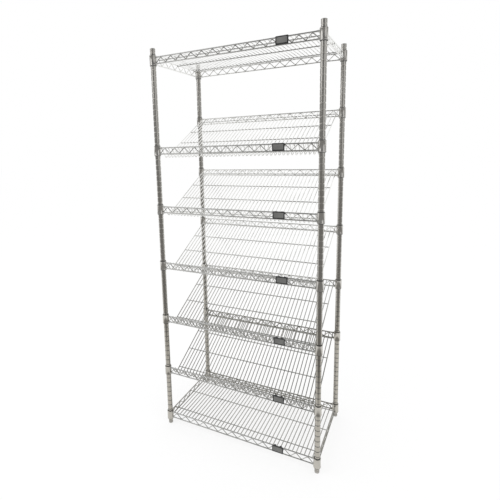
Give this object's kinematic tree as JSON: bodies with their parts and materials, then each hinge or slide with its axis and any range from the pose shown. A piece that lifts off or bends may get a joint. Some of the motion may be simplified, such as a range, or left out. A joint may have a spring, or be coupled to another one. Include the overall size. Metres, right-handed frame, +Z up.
{
  "type": "bread rack",
  "caption": "Free-standing chrome wire bread rack: grooved posts carry slanted wire shelves between a flat top and a flat bottom shelf.",
  "frame": {"origin": "on the floor under the middle of the rack", "axes": "+X to the right seen from the front, +Y towards the rear, +Z up"},
  "size_m": [0.802, 0.453, 1.8802],
  "materials": {
    "chrome": "bright plated wire and tube",
    "black_plastic": "satin moulded",
    "grey_plastic": "satin moulded"
  },
  "bodies": {
    "frame": {"post_front_left": "chrome", "cap_front_left": "chrome", "insert_front_left": "grey_plastic", "post_front_right": "chrome", "cap_front_right": "chrome", "insert_front_right": "grey_plastic", "post_rear_right": "chrome", "cap_rear_right": "chrome", "insert_rear_right": "grey_plastic", "post_rear_left": "chrome", "cap_rear_left": "chrome", "insert_rear_left": "grey_plastic", "sleeve_top_shelf_front_left": "black_plastic", "sleeve_top_shelf_front_right": "black_plastic", "sleeve_top_shelf_rear_right": "black_plastic", "sleeve_top_shelf_rear_left": "black_plastic", "sleeve_slant_shelf_1_front_left": "black_plastic", "sleeve_slant_shelf_1_front_right": "black_plastic", "sleeve_slant_shelf_1_rear_right": "black_plastic", "sleeve_slant_shelf_1_rear_left": "black_plastic", "sleeve_slant_shelf_2_front_left": "black_plastic", "sleeve_slant_shelf_2_front_right": "black_plastic", "sleeve_slant_shelf_2_rear_right": "black_plastic", "sleeve_slant_shelf_2_rear_left": "black_plastic", "sleeve_slant_shelf_3_front_left": "black_plastic", "sleeve_slant_shelf_3_front_right": "black_plastic", "sleeve_slant_shelf_3_rear_right": "black_plastic", "sleeve_slant_shelf_3_rear_left": "black_plastic", "sleeve_slant_shelf_4_front_left": "black_plastic", "sleeve_slant_shelf_4_front_right": "black_plastic", "sleeve_slant_shelf_4_rear_right": "black_plastic", "sleeve_slant_shelf_4_rear_left": "black_plastic", "sleeve_slant_shelf_5_front_left": "black_plastic", "sleeve_slant_shelf_5_front_right": "black_plastic", "sleeve_slant_shelf_5_rear_right": "black_plastic", "sleeve_slant_shelf_5_rear_left": "black_plastic", "sleeve_bottom_shelf_front_left": "black_plastic", "sleeve_bottom_shelf_front_right": "black_plastic", "sleeve_bottom_shelf_rear_right": "black_plastic", "sleeve_bottom_shelf_rear_left": "black_plastic"},
    "top_shelf": {"top_shelf": "chrome", "label_top_shelf": "black_plastic"},
    "slant_shelf_1": {"slant_shelf_1": "chrome", "label_slant_shelf_1": "black_plastic"},
    "slant_shelf_2": {"slant_shelf_2": "chrome", "label_slant_shelf_2": "black_plastic"},
    "slant_shelf_3": {"slant_shelf_3": "chrome", "label_slant_shelf_3": "black_plastic"},
    "slant_shelf_4": {"slant_shelf_4": "chrome", "label_slant_shelf_4": "black_plastic"},
    "slant_shelf_5": {"slant_shelf_5": "chrome", "label_slant_shelf_5": "black_plastic"},
    "bottom_shelf": {"bottom_shelf": "chrome", "label_bottom_shelf": "black_plastic"},
    "foot_front_left": {"foot_front_left": "grey_plastic"},
    "foot_front_right": {"foot_front_right": "grey_plastic"},
    "foot_rear_right": {"foot_rear_right": "grey_plastic"},
    "foot_rear_left": {"foot_rear_left": "grey_plastic"}
  },
  "joints": [
    {"name": "lift_top_shelf", "type": "slide", "parent": "frame", "child": "top_shelf", "axis": [0, 0, 1], "range_m": [0, 0.05]},
    {"name": "lift_slant_shelf_1", "type": "slide", "parent": "frame", "child": "slant_shelf_1", "axis": [0, 0, 1], "range_m": [0, 0.19]},
    {"name": "lift_slant_shelf_2", "type": "slide", "parent": "frame", "child": "slant_shelf_2", "axis": [0, 0, 1], "range_m": [0, 0.19]},
    {"name": "lift_slant_shelf_3", "type": "slide", "parent": "frame", "child": "slant_shelf_3", "axis": [0, 0, 1], "range_m": [0, 0.19]},
    {"name": "lift_slant_shelf_4", "type": "slide", "parent": "frame", "child": "slant_shelf_4", "axis": [0, 0, 1], "range_m": [0, 0.19]},
    {"name": "lift_slant_shelf_5", "type": "slide", "parent": "frame", "child": "slant_shelf_5", "axis": [0, 0, 1], "range_m": [0, 0.19]},
    {"name": "lift_bottom_shelf", "type": "slide", "parent": "frame", "child": "bottom_shelf", "axis": [0, 0, 1], "range_m": [0, 0.17]},
    {"name": "level_front_left", "type": "slide", "parent": "frame", "child": "foot_front_left", "axis": [0, 0, -1], "range_m": [0, 0.012]},
    {"name": "level_front_right", "type": "slide", "parent": "frame", "child": "foot_front_right", "axis": [0, 0, -1], "range_m": [0, 0.012]},
    {"name": "level_rear_right", "type": "slide", "parent": "frame", "child": "foot_rear_right", "axis": [0, 0, -1], "range_m": [0, 0.012]},
    {"name": "level_rear_left", "type": "slide", "parent": "frame", "child": "foot_rear_left", "axis": [0, 0, -1], "range_m": [0, 0.012]}
  ]
}
